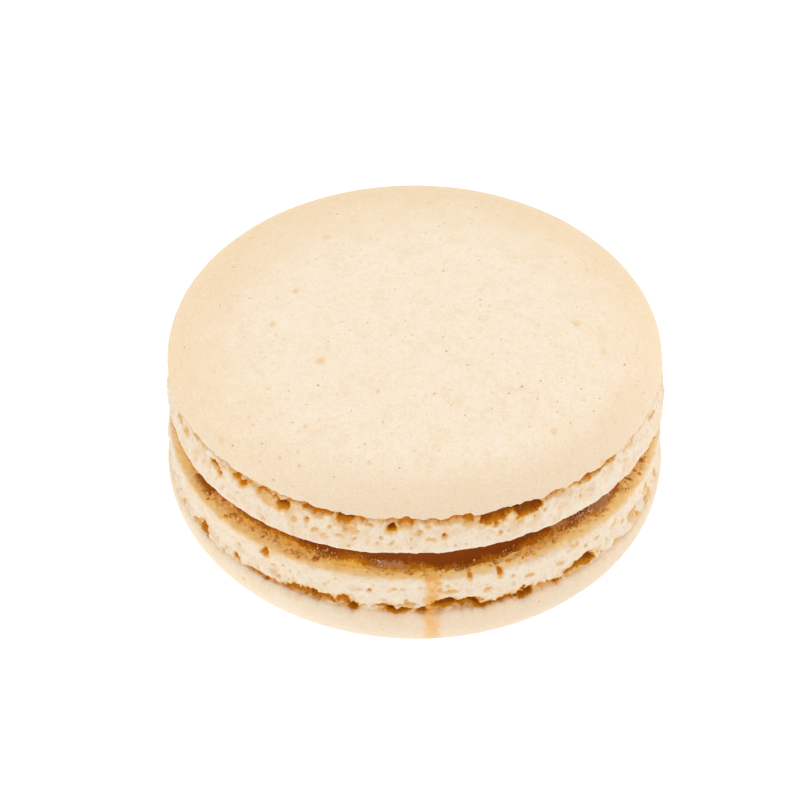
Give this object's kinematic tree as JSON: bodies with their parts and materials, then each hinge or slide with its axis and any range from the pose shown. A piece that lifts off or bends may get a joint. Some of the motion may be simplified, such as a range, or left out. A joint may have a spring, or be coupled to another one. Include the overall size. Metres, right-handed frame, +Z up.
{
  "type": "salted caramel macaron",
  "caption": "Round almond biscuit sandwich: smooth domed baked shells with ruffled feet round a caramel disc.",
  "frame": {"origin": "middle of the small flat spot under the lower dome, on the surface that the macaron rests on", "axes": "+Z up through both domes; -Y towards the side that shows the caramel and its drip; +X to that viewer's right"},
  "size_m": [0.045, 0.045, 0.0264],
  "materials": {
    "almond_shell": "matte baked almond meringue, pale cream",
    "caramel": "glossy soft salted caramel, deep brown"
  },
  "bodies": {
    "root": {"bottom_shell": "almond_shell", "caramel_filling": "caramel", "top_shell": "almond_shell"}
  },
  "joints": []
}
